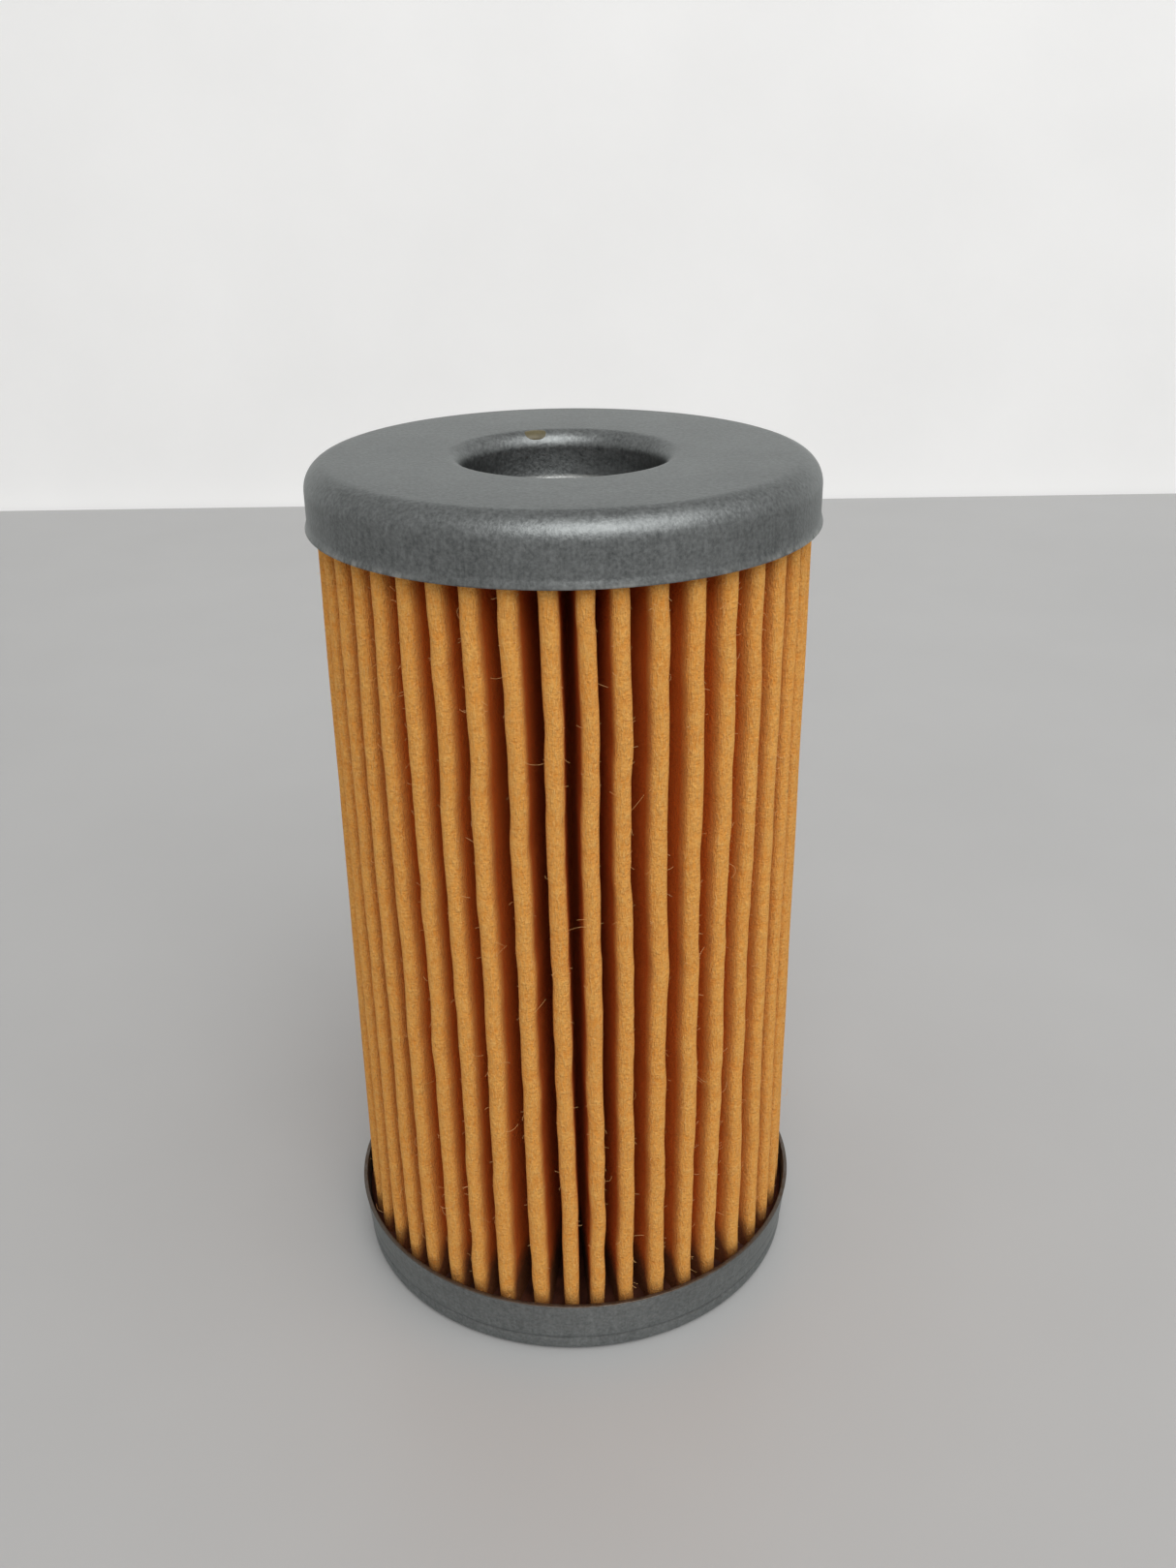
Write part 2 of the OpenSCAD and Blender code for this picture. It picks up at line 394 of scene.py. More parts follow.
bottomCap = {
    "sheet": 0.4 * mm,
    "footInset": 0.55 * mm,     # how far the skirt's foot stands in from the lip
    "lipOut": 0.15 * mm,
    "lipBend": (1 * mm, 1.5 * mm),      # height below the lip's edge, and fillet
    "corner": 0.7 * mm,
    "lines": [(1.6 * mm, 0.1 * mm), (3.3 * mm, 0.04 * mm)],   # pressed lines: height and depth
    "lineHalf": 0.3 * mm,
    "lineFillets": (0.2 * mm, 0.5 * mm),    # at the bottom of a line and at its sides
    "seatDepth": 2.4 * mm,
    "seatMouth": 0.6 * mm,
    "seatFillet": 0.3 * mm,
    "cutEdge": 0.06 * mm,
    "steps": 224,
    "arcSteps": 8,
    "edgeMark": ("stain", 0.13 * mm, 0.75),
    # the dark line in the lowest pressed line is painted shade
    "darkLine": (0.14 * mm, 0.28),
    # painted light: the bottom cap's metal is made paler
    "paler": 0.06,
}
low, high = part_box("bottom_end_cap")
seat = boreRadius("spring_seat")
footRadius = high.x - bottomCap["footInset"]
bendHeight, bendFillet = bottomCap["lipBend"]
leanFoot = low.z + bottomCap["corner"]
leanTop = high.z - bendHeight
bottomZinc = zincSteel("zincBottom", bottomCap, high.z, -1, low.z + bottomCap["lines"][0][0])


def bottomWall(z):
    # radius of the skirt, which leans out a little towards its lip
    rise = (z - leanFoot) / (leanTop - leanFoot)
    return footRadius + (bottomCap["footInset"] - bottomCap["lipOut"]) * rise


corners = [
    (0, bottomCap["seatDepth"], 0),
    (seat, bottomCap["seatDepth"], bottomCap["seatFillet"]),
    (seat, low.z, bottomCap["seatMouth"]),
    (footRadius, low.z, bottomCap["corner"]),
]
lineFillet, sideFillet = bottomCap["lineFillets"]
for lineHeight, depth in bottomCap["lines"]:
    for step, inwards, fillet in ((-1, 0, sideFillet), (0, depth, lineFillet), (1, 0, sideFillet)):
        z = low.z + lineHeight + step * bottomCap["lineHalf"]
        corners.append((bottomWall(z) - inwards, z, fillet))
corners.append((bottomWall(leanTop), leanTop, bendFillet))
corners.append((high.x, high.z, 0))
bottomLine = roundedLine(corners, bottomCap["arcSteps"])
drawnSheet("bottom_cap", bottomLine, bottomCap, bottomZinc, "bottom_end_cap")
print("bottom cap done")


# folded filter paper

paper = {
    "folds": 44,
    "seamFold": 30,
    # how far in the strip's ends stop, and their share of a fold's width
    "seamEdge": (0.1 * mm, 0.98),
    "outerRadius": 21.05 * mm,
    "rootRadius": 9.62 * mm,
    "thickness": 0.6 * mm,
    "tipFold": 0.45 * mm,       # to the middle of the sheet
    "rootFold": 0.38 * mm,
    "levels": 76,
    "tipSteps": 3,              # for half a fold
    "legSteps": 2,
    "rootSteps": 2,
    # where the folds in front stand, in degrees round from the front: at the top and at the bottom
    "frontFolds": [(-60.5, -57.5), (-53, -49.5), (-45.5, -42), (-37, -33.5), (-29, -26),
                   (-21, -18.5), (-12.5, -9.5), (-4, -1.5), (4, 5), (11.5, 13),
                   (20, 21), (29, 29.5), (37.5, 37.5), (46.5, 46.5), (55.5, 55.5)],
    "unevenness": 0.8,          # degrees that the other folds stray
    # length and size of each wave, and how much one fold's wave differs from the next one's
    "waves": [(24 * mm, 0.42 * mm, 0.5), (9 * mm, 0.15 * mm, 0.4),
              (4.2 * mm, 0.13 * mm, 1), (2.3 * mm, 0.11 * mm, 1)],
    "waveRing": 6.3,            # how far apart in the noise the folds are
    "rootGrip": 1.4,            # how much the tube stills the waves
    "slack": 0.12 * mm,         # how far a fold dips in places
    "slackLength": 11 * mm,
    "slackUnlike": 1.3,         # how much one fold's slack differs from the next one's
    "apart": (9, 40),           # in the noise, from one wave to the next, and to the slack
    "seed": 11,
}
pitch = 360 / paper["folds"]


def foldAngles(spec):
    chance = random.Random(spec["seed"])
    angles = list(spec["frontFolds"])
    first, last = angles[0], angles[-1]
    gaps = spec["folds"] - len(angles) + 1
    for i in range(1, gaps):
        stray = chance.uniform(-1, 1) * spec["unevenness"]
        angles.append(tuple(last[end] + (first[end] + 360 - last[end]) * i / gaps + stray
                            for end in (0, 1)))
    angles.append(tuple(a + 360 for a in first))
    return angles


def pleatHalf(spec):
    # from the middle of an outer fold to the middle of the inner fold beside it, as (radius, degrees)
    half = math.radians(pitch / 2)
    tip = Vector((spec["outerRadius"] - spec["thickness"] / 2 - spec["tipFold"], 0))
    rootDistance = spec["rootRadius"] + spec["thickness"] / 2 + spec["rootFold"]
    root = Vector((math.cos(half), math.sin(half))) * rootDistance
    apart = tip - root
    lean = (math.atan2(apart.y, apart.x)
            + math.asin((spec["tipFold"] + spec["rootFold"]) / apart.length))
    spots = []
    for i in range(spec["tipSteps"] + 1):
        turn = (math.pi / 2 + lean) * i / spec["tipSteps"]
        spots.append(tip + Vector((math.cos(turn), math.sin(turn))) * spec["tipFold"])
    rootArc = []
    for i in range(spec["rootSteps"] + 1):
        turn = (lean - math.pi / 2) + (half - math.pi / 2 - lean) * i / spec["rootSteps"]
        rootArc.append(root + Vector((math.cos(turn), math.sin(turn))) * spec["rootFold"])
    legEnd = spots[-1]
    for i in range(1, spec["legSteps"]):
        spots.append(legEnd.lerp(rootArc[0], i / spec["legSteps"]))
    return [(spot.length, math.degrees(math.atan2(spot.y, spot.x))) for spot in spots + rootArc]


def settle(point, spec, angles):
    # an even fold's point, moved to where the real fold stands and waves
    radius = math.hypot(point.x, point.y)
    phase = math.degrees(math.atan2(point.x, -point.y)) % 360 / pitch
    fold = int(phase) % spec["folds"]
    lift = min(max((point.z - paperLow) / (paperHigh - paperLow), 0), 1)
    here, there = (angles[i][1] + (angles[i][0] - angles[i][1]) * lift for i in (fold, fold + 1))
    angle = math.radians(here + (there - here) * (phase - int(phase)))
    depth = (radius - spec["rootRadius"]) / (spec["outerRadius"] - spec["rootRadius"])
    depth = min(max(depth, 0), 1) ** spec["rootGrip"]
    ring = Vector((math.cos(angle), math.sin(angle), 0)) * spec["waveRing"]
    waveApart, slackApart = spec["apart"]
    sway = sum(size * noise.noise(ring * unlike + Vector((0, 0, point.z / length + waveApart * i)))
               for i, (length, size, unlike) in enumerate(spec["waves"]))
    slackHeight = point.z / spec["slackLength"] + slackApart
    slackPlace = ring * spec["slackUnlike"] + Vector((0, 0, slackHeight))
    dip = spec["slack"] * (0.5 + 0.5 * noise.noise(slackPlace))
    angle += depth * sway / radius
    radius -= depth * dip
    return Vector((radius * math.sin(angle), -radius * math.cos(angle), point.z))


def foldedStrip(spec, angles, zLow, zHigh):
    half = pleatHalf(spec)
    tips = spec["tipSteps"]
    seamIn, seamShare = spec["seamEdge"]
    seamHalf = [(spec["outerRadius"] - seamIn, half[tips][1] * seamShare)] + half[tips:]
    bm = bmesh.new()
    along = bm.verts.layers.float.new("along")
    chain = []
    for i in range(spec["folds"]):
        fold = spec["seamFold"] + i
        right = seamHalf if i == 0 else half
        left = seamHalf if i == spec["folds"] - 1 else half
        chain += [(r, fold * pitch + a) for r, a in right]
        chain += [(r, (fold + 1) * pitch - a) for r, a in reversed(left[:-1])]
        if i < spec["folds"] - 1:
            chain.pop()
    length = 0
    previous = None
    for radius, degrees in chain:
        vert = bm.verts.new(roundFromFront(radius, degrees, zLow))
        if previous:
            length += (vert.co - previous.co).length
            bm.edges.new((previous, vert))
        vert[along] = length
        previous = vert
    edges = bm.edges[:]
    for level in range(spec["levels"]):
        grown = bmesh.ops.extrude_edge_only(bm, edges=edges)["geom"]
        rise = [item for item in grown if isinstance(item, bmesh.types.BMVert)]
        edges = [item for item in grown if isinstance(item, bmesh.types.BMEdge)]
        bmesh.ops.translate(bm, verts=rise, vec=(0, 0, (zHigh - zLow) / spec["levels"]))
    strip = bm.loops.layers.uv.new("strip")
    for face in bm.faces:
        for loop in face.loops:
            loop[strip].uv = (loop.vert[along], loop.vert.co.z)
    for vert in bm.verts:
        vert.co = settle(vert.co, spec, angles)
    return bm


paperLook = {
    "amber": (0.87, 0.345, 0.058, 1),
    "gold": (0.94, 0.465, 0.106, 1),
    "pale": (0.98, 0.58, 0.19, 1),
    "burnt": (0.56, 0.17, 0.018, 1),
    "foldShade": (0.66, 0.125, 0.010, 1),
    "soakedAndShaded": (0.17, 0.042, 0.013, 1),
    "dirt": (0.20, 0.15, 0.09, 1),
    "mottle": 1.3 * mm,
    "fibre": 0.11 * mm,
    "fibreTurns": (8, 52, -37, 85),     # the ways that the felt's fibres lie
    "fibreRange": (0.52, 0.80),
    "fibreShare": 0.7,
    "fluff": 0.22 * mm,
    "fluffRange": (0.30, 0.56),
    "fluffShare": 0.55,
    "speck": (5.5 * mm, 0.035, 0.055),  # spacing of the specks, and their edge as a share of it
    "speckFew": (0.72, 0.74),           # the rest of the places have no speck
    "speckShare": 0.7,
    "foldStart": 0.35 * mm,     # how far in the painted shade of the folds starts
    "foldDepth": 1.3 * mm,      # and how much further in it is full
    "ragged": (1.8 * mm, 2.2 * mm),     # width and height of the soaked edge's tongues
    "foldCreep": 2.4 * mm,      # how much higher the adhesive has crept inside the folds
    "foot": (1.9 * mm, 4.4 * mm),       # darkened up to the first height, and faded by the second: partly adhesive wicked in, partly painted shade
    # the band below the top cap: partly painted shadow of the cap, partly adhesive stain
    "head": (-1.2 * mm, 0.6 * mm),
    "headShare": 0.8,
    "bump": (0.9, 0.12 * mm),
    "fluffRelief": 2.0,
    "mottleRelief": 1.2,
    "roughness": 0.9,
    "specular": 0.15,
    "sheen": 0.12,
    "sheenRoughness": 0.5,
    "sheenTint": (0.95, 0.6, 0.25, 1),
}


def feltPaper(name, zLow, zHigh):
    look = paperLook
    material, tree, shader = newMaterial(name)
    strip = addNode(tree, "ShaderNodeUVMap", uv_map="strip").outputs["UV"]
    where = objectPlace(tree)
    parts = addNode(tree, "ShaderNodeSeparateXYZ", {"Vector": where})
    height = parts.outputs["Z"]
    mottle = grainNoise(tree, strip, look["mottle"], detail=5, roughness=0.65)
    layers = [grainNoise(tree, strip, look["fibre"], detail=1, stretch=(1, 0.13, 1), turn=turn)
              for turn in look["fibreTurns"]]
    felted = layers[0]
    for layer in layers[1:]:
        felted = combine(tree, "MAXIMUM", felted, layer)
    felt = fromTo(tree, felted, *look["fibreRange"])
    fluff = grainNoise(tree, strip, look["fluff"], detail=4, roughness=0.7)
    colour = mixColours(tree, evened(tree, mottle, margin=0.34), look["amber"], look["gold"])
    colour = mixColours(tree, times(tree, felt, look["fibreShare"]), colour, look["pale"])
    burnt = fromTo(tree, fluff, *look["fluffRange"], look["fluffShare"], 0)
    colour = mixColours(tree, burnt, colour, look["burnt"])

    # a few specks of dirt
    spacing, speckFull, speckEdge = look["speck"]
    cells = addNode(tree, "ShaderNodeTexVoronoi", {"Vector": strip, "Scale": 1 / spacing})
    draw = addNode(tree, "ShaderNodeSeparateColor", {"Color": cells.outputs["Color"]})
    chosen = fromTo(tree, draw.outputs["Red"], *look["speckFew"])
    speck = times(tree, fromTo(tree, cells.outputs["Distance"], speckFull, speckEdge, 1, 0), chosen)
    colour = mixColours(tree, times(tree, speck, look["speckShare"]), colour, look["dirt"])

    # painted shade: deeper orange inside the folds
    start = paper["outerRadius"] - look["foldStart"]
    depth = fromTo(tree, distanceFromAxis(tree, parts), start, start - look["foldDepth"])
    colour = mixColours(tree, depth, colour, look["foldShade"])
    # darker at the foot, partly where adhesive has wicked in and partly painted shade, and below the
    # top cap, partly painted shadow and partly adhesive
    tongueWidth, tongueHeight = look["ragged"]
    ragged = times(tree, grainNoise(tree, where, tongueWidth, detail=4), tongueHeight)
    creep = add(tree, ragged, times(tree, depth, look["foldCreep"]))
    footFull, footEnd = (zLow + reach for reach in look["foot"])
    headStart, headFull = (zHigh + reach for reach in look["head"])
    foot = fromTo(tree, combine(tree, "SUBTRACT", height, creep), footFull, footEnd, 1, 0)
    head = fromTo(tree, add(tree, height, ragged), headStart, headFull, 0, look["headShare"])
    colour = mixColours(tree, combine(tree, "MAXIMUM", foot, head), colour, look["soakedAndShaded"])
    relief = add(tree, felt, times(tree, fluff, look["fluffRelief"]))
    relief = add(tree, relief, times(tree, mottle, look["mottleRelief"]))
    fillSockets(tree, shader, {
        "Base Color": colour,
        "Roughness": look["roughness"],
        "Specular IOR Level": look["specular"],
        "Sheen Weight": look["sheen"],
        "Sheen Roughness": look["sheenRoughness"],
        "Sheen Tint": look["sheenTint"],
        "Normal": bumpFrom(tree, relief, *look["bump"]),
    })
    return material


low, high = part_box("filter_media")
paperLow, paperHigh = low.z, high.z
angles = foldAngles(paper)
media = addPiece("filter_paper", foldedStrip(paper, angles, paperLow, paperHigh),
                 feltPaper("feltPaper", paperLow, paperHigh),
                 ["filter_media"], sharpAbove=75)
thick = media.modifiers.new("thickness", "SOLIDIFY")
thick.thickness = paper["thickness"]
thick.offset = 0
thick.use_even_offset = True
bakeModifiers(media, sharpAbove=75)
print("paper done:", len(media.data.polygons), "faces")


# loose fibres on the folds

fibres = {
    "short": (5600, 0.2 * mm, 0.65 * mm, 4),    # how many, shortest, longest, and points along one
    "long": (230, 0.8 * mm, 2.0 * mm, 8),
    "thickness": 0.0105 * mm,
    "aside": (0.6, 2.0),        # degrees from the middle of a fold
    "inward": (0.2, 0.5),       # mm in from the folds' outer radius
    "outward": (0.25, 0.8),     # how much they point outwards
    "droop": 0.6,               # how much they bend back in
    "curl": 0.4,
    "endGap": 4 * mm,           # bare paper at the caps
    "reach": 0.55 * mm,         # how far out from the folds they may stand
    "dark": (0.70, 0.35, 0.10, 1),
    "light": (0.90, 0.58, 0.26, 1),
    "patch": 3 * mm,
    "roughness": 0.7,
    "seed": 5,
}


def looseFibres(spec, paperSpec):
    chance = random.Random(spec["seed"])

    def either():
        return chance.uniform(-1, 1)

    curve = bpy.data.curves.new("fibres", "CURVE")
    curve.dimensions = "3D"
    curve.bevel_depth = spec["thickness"]
    curve.bevel_resolution = 0
    curve.use_fill_caps = True
    for count, shortest, longest, points in (spec["short"], spec["long"]):
        for _ in range(count):
            degrees = chance.randrange(paperSpec["folds"]) * pitch
            degrees += chance.choice((-1, 1)) * chance.uniform(*spec["aside"])
            z = chance.uniform(paperLow + spec["endGap"], paperHigh - spec["endGap"])
            radius = paperSpec["outerRadius"] - chance.uniform(*spec["inward"]) * mm
            spot = settle(roundFromFront(radius, degrees, z), paperSpec, angles)
            out = Vector((spot.x, spot.y, 0)).normalized()
            side = Vector((-out.y, out.x, 0))
            way = out * chance.uniform(*spec["outward"]) + side * either()
            way = (way + Vector((0, 0, either()))).normalized()
            bend = side * either() + Vector((0, 0, either())) - out * spec["droop"]
            bend = bend * spec["curl"]
            step = chance.uniform(shortest, longest) / (points - 1)
            line = curve.splines.new("POLY")
            line.points.add(points - 1)
            for point in line.points:
                point.co = (*spot, 1)
                spot = spot + way * step
                limit = (paperSpec["outerRadius"] + spec["reach"]) / math.hypot(spot.x, spot.y)
                if limit < 1:
                    spot = Vector((spot.x * limit, spot.y * limit, spot.z))
                way = (way + bend).normalized()
    return curve


def fibreLook(name, spec):
    material, tree, shader = newMaterial(name)
    tone = evened(tree, grainNoise(tree, objectPlace(tree), spec["patch"]), margin=0.35)
    fillSockets(tree, shader, {
        "Base Color": mixColours(tree, tone, spec["dark"], spec["light"]),
        "Roughness": spec["roughness"],
    })
    return material


fibreSource = bpy.data.objects.new("fibreSource", looseFibres(fibres, paper))
bpy.context.scene.collection.objects.link(fibreSource)
fibreShape = fibreSource.evaluated_get(bpy.context.evaluated_depsgraph_get())
fibreMesh = bpy.data.meshes.new_from_object(fibreShape)
bpy.data.objects.remove(fibreSource)
bm = bmesh.new()
bm.from_mesh(fibreMesh)
addPiece("paper_fibres", bm, fibreLook("fibre", fibres))
print("fibres done")


# side seam's adhesive, between the two end legs of the strip

seam = {
    "depth": 5 * mm,
    "levels": 60,
    "inset": 0.15 * mm,
    "innerSpread": 1.25,        # how much more of a fold's width the bead takes at its inner side
    "cover": 0.3,               # how far it goes into each leg, as a share of the paper
    "swell": 0.05 * mm,         # of its outer side only, which is as deep as the band
    "band": 1 * mm,
    "swellLength": 2.5 * mm,
    "look": {"dark": (0.62, 0.48, 0.26, 1), "light": (0.78, 0.68, 0.46, 1),
             "patch": 2 * mm, "roughness": 0.38, "depth": 0.05 * mm},
}


def seamBead(spec, paperSpec):
    half = pleatHalf(paperSpec)
    tips = paperSpec["tipSteps"]
    middle = paperSpec["seamFold"] * pitch
    outerSpot = (paperSpec["outerRadius"] - spec["inset"], half[tips][1])
    innerSpot = (outerSpot[0] - spec["depth"], half[tips][1] * spec["innerSpread"])
    cover = math.degrees(paperSpec["thickness"] * spec["cover"] / paperSpec["outerRadius"])
    bm = bmesh.new()
    ring = [bm.verts.new(roundFromFront(r, middle + side * (a - cover), paperLow))
            for r, a, side in ((*outerSpot, -1), (*outerSpot, 1), (*innerSpot, 1), (*innerSpot, -1))]
    faces = [bm.faces.new(ring)]
    for level in range(spec["levels"]):
        borders = [edge for face in faces for edge in face.edges]
        grown = bmesh.ops.extrude_face_region(bm, geom=faces + borders)["geom"]
        faces = [item for item in grown if isinstance(item, bmesh.types.BMFace)]
        rise = [item for item in grown if isinstance(item, bmesh.types.BMVert)]
        bmesh.ops.translate(bm, verts=rise, vec=(0, 0, (paperHigh - paperLow) / spec["levels"]))
    bmesh.ops.recalc_face_normals(bm, faces=bm.faces[:])
    for vert in bm.verts:
        radius = math.hypot(vert.co.x, vert.co.y)
        if radius > paperSpec["outerRadius"] - spec["band"]:
            place = Vector((0, vert.co.x / mm, vert.co.z / spec["swellLength"]))
            grow = 1 + spec["swell"] * noise.noise(place) / radius
            vert.co = vert.co * Vector((grow, grow, 1))
        vert.co = settle(vert.co, paperSpec, angles)
    return bm


glue = {
    "ripple": 0.25 * mm,
    "gloss": (-0.08, 0.12),     # how the roughness varies
    "coat": 0.06,
    "cloudRelief": 2.0,         # beside the ripple's relief
    "bump": 0.5,
}


def adhesive(name, look):
    material, tree, shader = newMaterial(name)
    where = objectPlace(tree)
    cloud = grainNoise(tree, where, look["patch"], detail=4)
    fine = grainNoise(tree, where, glue["ripple"], detail=3)
    glossy, dull = (look["roughness"] + change for change in glue["gloss"])
    relief = add(tree, times(tree, cloud, glue["cloudRelief"]), fine)
    tone = evened(tree, cloud, margin=0.33)
    fillSockets(tree, shader, {
        "Base Color": mixColours(tree, tone, look["dark"], look["light"]),
        "Roughness": evened(tree, fine, glossy, dull),
        "Coat Weight": glue["coat"],
        "Normal": bumpFrom(tree, relief, glue["bump"], look["depth"]),
    })
    return material


addPiece("side_seam", seamBead(seam, paper), adhesive("seamAdhesive", seam["look"]),
         ["side_seam_adhesive"])
print("side seam done")


# potting adhesive in the caps

potting = {
    "climbWall": (1.1 * mm, 0.22 * mm),     # height against the cap's wall, and how far out it fades
    "climbPaper": (0.35 * mm, 1.0 * mm),
    "ragged": (2.2 * mm, 0.65, 0.5),        # width, and share of the climb and how it varies
    "ripple": (0.12 * mm, 1.3 * mm),        # height and width
    "innerStep": 1.1 * mm,      # thickness of the bed where it meets the tube
    "levelWithin": 0.01 * mm,
    "wallCrowd": 1.6,           # how much the rings of faces crowd towards the wall
    "steps": 352,
    "rings": 26,
    "corners": {"bottom": 0.4 * mm, "top": 1.8 * mm},
    "seatGap": 0.3 * mm,
    "look": {"dark": (0.055, 0.016, 0.009, 1), "light": (0.12, 0.036, 0.017, 1),
             "patch": 1.5 * mm, "roughness": 0.5, "depth": 0.06 * mm},
}


def pottingBed(name, node, outer, corner, capInside, innerFoot, level, bedUp):
    # bedUp is +1 for the bottom cap's bed and -1 for the top cap's
    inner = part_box("centre_tube")[1].x
    innerRise = capInside + bedUp * potting["innerStep"]
    line = [(innerFoot, capInside), (outer(capInside) - corner, capInside),
            (outer(capInside), capInside + bedUp * corner)]
    reach = outer(level)
    for i in range(potting["rings"] + 1):
        share = (i / potting["rings"]) ** potting["wallCrowd"]
        line.append((reach + (inner - reach) * share, level))
    line.append((inner, innerRise))
    if innerFoot < inner:
        line.append((innerFoot, innerRise))
    bm = spinLine([Vector(spot) for spot in line], potting["steps"], closed=True)
    wallHeight, wallFade = potting["climbWall"]
    paperHeight, paperFade = potting["climbPaper"]
    rippleHeight, rippleWidth = potting["ripple"]
    raggedWidth, climbShare, climbVaries = potting["ragged"]
    end = 1 if bedUp > 0 else 0     # the folds' angles at the bottom or at the top
    for vert in bm.verts:
        if abs(vert.co.z - level) > potting["levelWithin"]:
            continue
        radius = math.hypot(vert.co.x, vert.co.y)
        around = math.degrees(math.atan2(vert.co.x, -vert.co.y))
        nearest = min(abs((around - pair[end] + 180) % 360 - 180) for pair in angles[:-1])
        aside = nearest * math.radians(1) * radius / paperFade
        ragged = climbShare + climbVaries * noise.noise(vert.co / raggedWidth)
        rise = wallHeight * math.exp(-max(reach - radius, 0) / wallFade) * ragged
        rise += paperHeight * math.exp(-aside * aside)
        rise += rippleHeight * noise.noise(vert.co / rippleWidth)
        vert.co.z += bedUp * rise
    return addPiece(name, bm, pottingMaterial, [node], sharpAbove=60)


pottingMaterial = adhesive("pottingAdhesive", potting["look"])
low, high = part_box("bottom_potting")
seatOutside = seat + bottomCap["sheet"] + potting["seatGap"]
pottingBed("bottom_potting_bed", "bottom_potting", lambda z: bottomWall(z) - bottomCap["sheet"],
           potting["corners"]["bottom"], low.z, seatOutside, high.z, 1)
low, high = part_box("top_potting")
pottingBed("top_potting_bed", "top_potting", lambda z: wallRadius - topCap["sheet"],
           potting["corners"]["top"], high.z, bore + topCap["roll"], low.z, -1)
print("potting done")


# adhesive drop left on the bore's rolled edge

drop = {
    "around": 164.5,            # degrees round from the front
    "size": (1.75 * mm, 0.62 * mm, 0.29 * mm),
    "sink": 0.21 * mm,
    "tilt": 36,
    "look": {"dark": (0.085, 0.07, 0.03, 1), "light": (0.135, 0.11, 0.05, 1),
             "patch": 0.8 * mm, "roughness": 0.42, "depth": 0.02 * mm},
}
bm = bmesh.new()
bmesh.ops.create_icosphere(bm, subdivisions=3, radius=1)
bmesh.ops.scale(bm, vec=drop["size"], verts=bm.verts[:])
lean = math.radians(drop["tilt"])
bmesh.ops.rotate(bm, cent=(0, 0, 0), matrix=Matrix.Rotation(lean, 3, "X"), verts=bm.verts[:])
arm = topCap["roll"] - drop["sink"]
rollAt = bore + topCap["roll"] - arm * math.sin(lean)
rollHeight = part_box("top_end_cap")[1].z - topCap["roll"] + arm * math.cos(lean)
bmesh.ops.translate(bm, vec=(0, rollAt, rollHeight), verts=bm.verts[:])
turn = math.radians(180 - drop["around"])
bmesh.ops.rotate(bm, cent=(0, 0, 0), matrix=Matrix.Rotation(turn, 3, "Z"), verts=bm.verts[:])
addPiece("adhesive_drop", bm, adhesive("dropAdhesive", drop["look"]))
print("drop done")


# perforated centre tube: its CAD shape with a tinned finish

tin = {
    "dark": (0.42, 0.43, 0.43, 1),
    "light": (0.58, 0.58, 0.57, 1),
    "cloud": 3 * mm,
    "rolled": 0.3 * mm,
    "rolledStretch": 0.06,
    "roughness": (0.26, 0.42),
    "bump": (0.4, 0.02 * mm),
}


def tinnedSteel(name):
    material, tree, shader = newMaterial(name)
    where = objectPlace(tree)
    cloud = grainNoise(tree, where, tin["cloud"], detail=4)
    rolled = grainNoise(tree, where, tin["rolled"], detail=3,
                        stretch=(1, 1, tin["rolledStretch"]))
    fillSockets(tree, shader, {
        "Base Color": mixColours(tree, evened(tree, cloud), tin["dark"], tin["light"]),
        "Metallic": 1.0,
        "Roughness": evened(tree, rolled, *tin["roughness"]),
        "Normal": bumpFrom(tree, rolled, *tin["bump"]),
    })
    return material


tube = nodes["centre_tube"]
tube.material_slots[0].material = tinnedSteel("tinnedSteel")
print("tube done")


# floor, backdrop, light and camera

studio = {
    "floor": {"colour": (0.455, 0.455, 0.452, 1), "roughness": 0.42, "glow": 0.0},
    "backdrop": {"colour": (0.88, 0.88, 0.875, 1), "roughness": 0.5, "glow": 0.13},
    "width": 3,
    "floorDepth": 2.6,
    "floorDrop": 0.02 * mm,
    "backdropHeight": 0.56,
    "tableEdge": 0.305,
    "gap": 0.01,
    "cloud": 60 * mm,
    "cloudPaler": 1.04,
    "glowColour": (1, 1, 0.995, 1),
    "world": ((1.0, 0.995, 0.985, 1), 0.52),
    # place, what it points at, size and power
    "sky": ((0.34, -0.38, 0.70), (0, 0, 0.02), 0.9, 2.4),
    "key": ((0.08, -0.56, 0.66), (0, 0, 0.04), 0.62, 2.45),
}


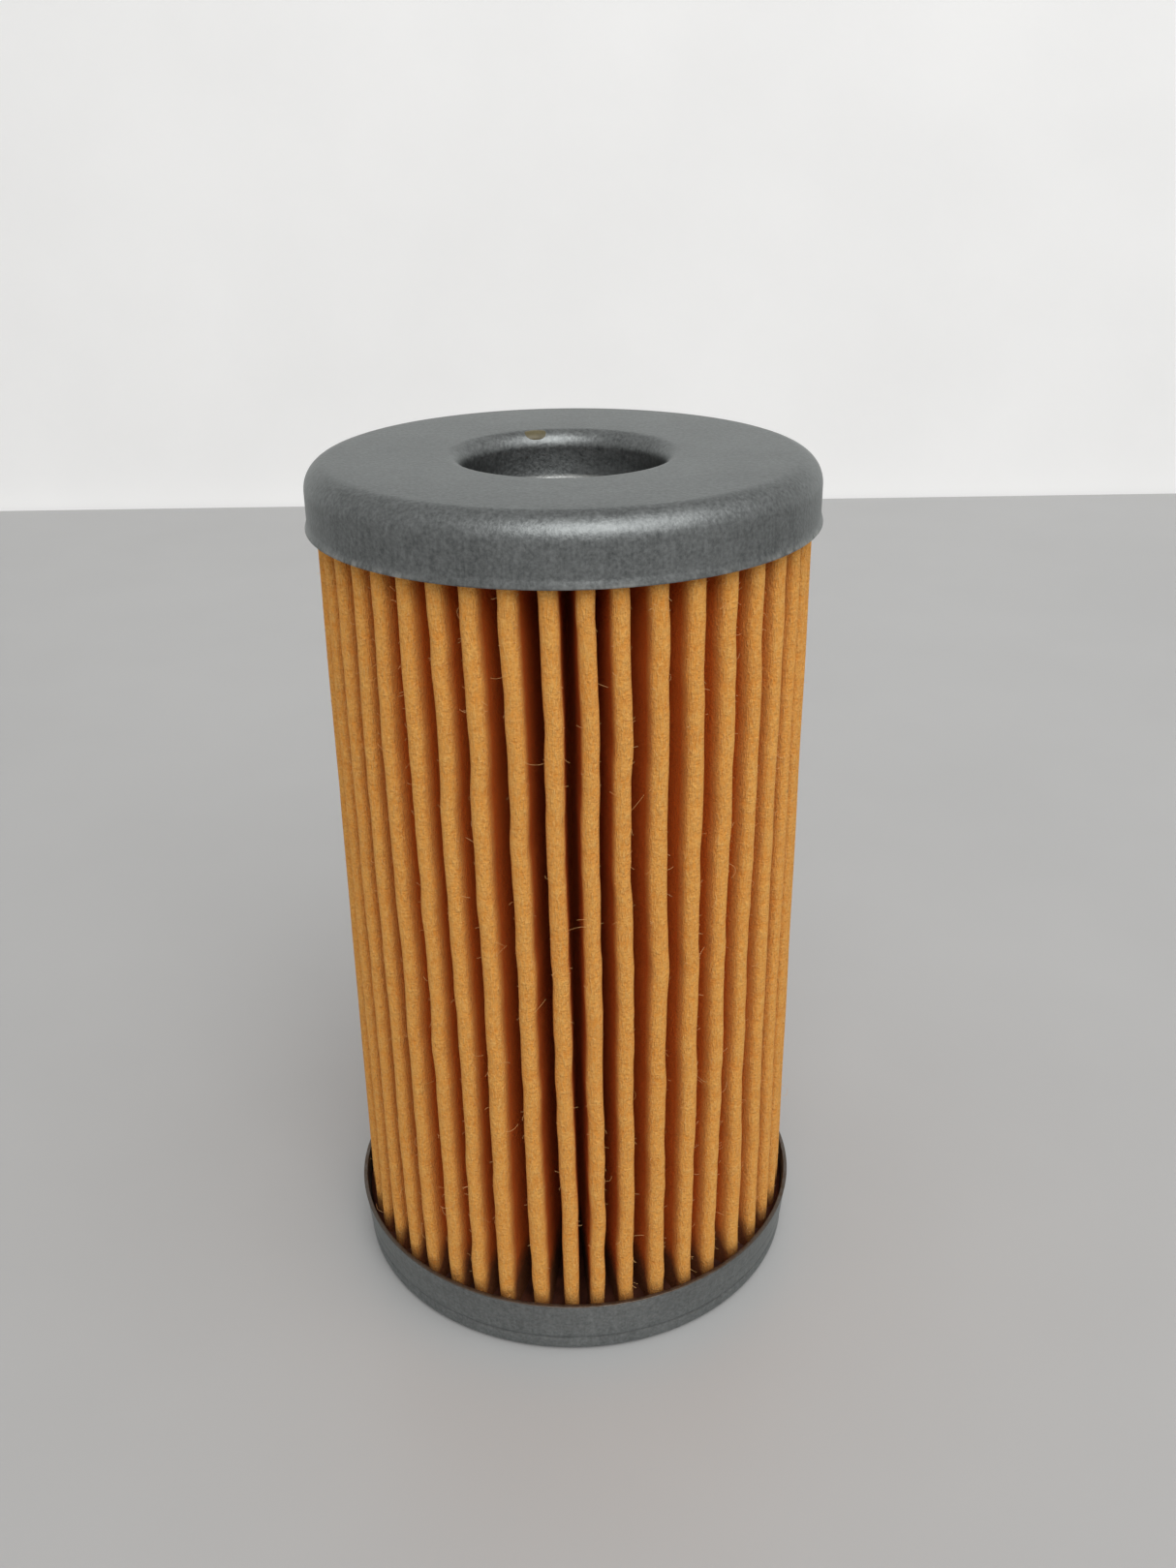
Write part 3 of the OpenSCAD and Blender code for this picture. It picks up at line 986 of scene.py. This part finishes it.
def stagePlane(name, width, depth, place, turn, look):
    bm = bmesh.new()
    bmesh.ops.create_grid(bm, x_segments=1, y_segments=1, size=0.5)
    bmesh.ops.scale(bm, vec=(width, depth, 1), verts=bm.verts[:])
    tip = Matrix.Rotation(math.radians(turn), 3, "X")
    bmesh.ops.rotate(bm, cent=(0, 0, 0), matrix=tip, verts=bm.verts[:])
    bmesh.ops.translate(bm, vec=place, verts=bm.verts[:])
    material, tree, shader = newMaterial(name)
    cloud = grainNoise(tree, objectPlace(tree), studio["cloud"], detail=3)
    paler = tuple(min(c * studio["cloudPaler"], 1) for c in look["colour"][:3]) + (1,)
    fillSockets(tree, shader, {
        "Base Color": mixColours(tree, evened(tree, cloud, margin=0.35), look["colour"], paler),
        "Roughness": look["roughness"],
        "Emission Color": studio["glowColour"],
        "Emission Strength": look["glow"],
    })
    mesh = bpy.data.meshes.new(name)
    bm.to_mesh(mesh)
    bm.free()
    mesh.materials.append(material)
    plane = bpy.data.objects.new(name, mesh)
    bpy.context.scene.collection.objects.link(plane)
    return plane


def softLight(name, place, aim, size, power):
    light = bpy.data.lights.new(name, "AREA")
    light.shape = "DISK"
    light.size = size
    light.energy = power
    lamp = bpy.data.objects.new(name, light)
    bpy.context.scene.collection.objects.link(lamp)
    lamp.location = place
    lamp.rotation_euler = (Vector(aim) - Vector(place)).to_track_quat("-Z", "Y").to_euler()
    return lamp


edgeAt = studio["tableEdge"]
stagePlane("floor", studio["width"], studio["floorDepth"],
           (0, edgeAt - studio["floorDepth"] / 2, -studio["floorDrop"]), 0, studio["floor"])
stagePlane("backdrop", studio["width"], studio["backdropHeight"],
           (0, edgeAt + studio["gap"], 0), 90, studio["backdrop"])
softLight("sky", *studio["sky"])
softLight("key", *studio["key"])

world = bpy.data.worlds.new("world")
world.use_nodes = True
background = world.node_tree.nodes["Background"]
worldColour, worldStrength = studio["world"]
background.inputs["Color"].default_value = worldColour
background.inputs["Strength"].default_value = worldStrength
bpy.context.scene.world = world

camera = {
    "distance": 122.8 * mm,     # from the element's axis, level with the floor
    "height": 104.7 * mm,
    "pan": 0.82,
    "tilt": 24.7,
    "roll": -0.66,
    "lens": 33.44,
    "sensor": 36,
    "clip": (0.005, 20),
}
lensData = bpy.data.cameras.new("camera")
lensData.lens = camera["lens"]
lensData.sensor_width = camera["sensor"]
lensData.clip_start, lensData.clip_end = camera["clip"]
viewer = bpy.data.objects.new("camera", lensData)
bpy.context.scene.collection.objects.link(viewer)
aim = Matrix.Rotation(math.radians(-camera["pan"]), 4, "Z")
aim = aim @ Matrix.Rotation(math.radians(90 - camera["tilt"]), 4, "X")
aim = aim @ Matrix.Rotation(math.radians(camera["roll"]), 4, "Z")
viewer.matrix_world = Matrix.Translation((0, -camera["distance"], camera["height"])) @ aim
bpy.context.scene.camera = viewer
bpy.context.scene.view_settings.view_transform = "Standard"
print("stage done")
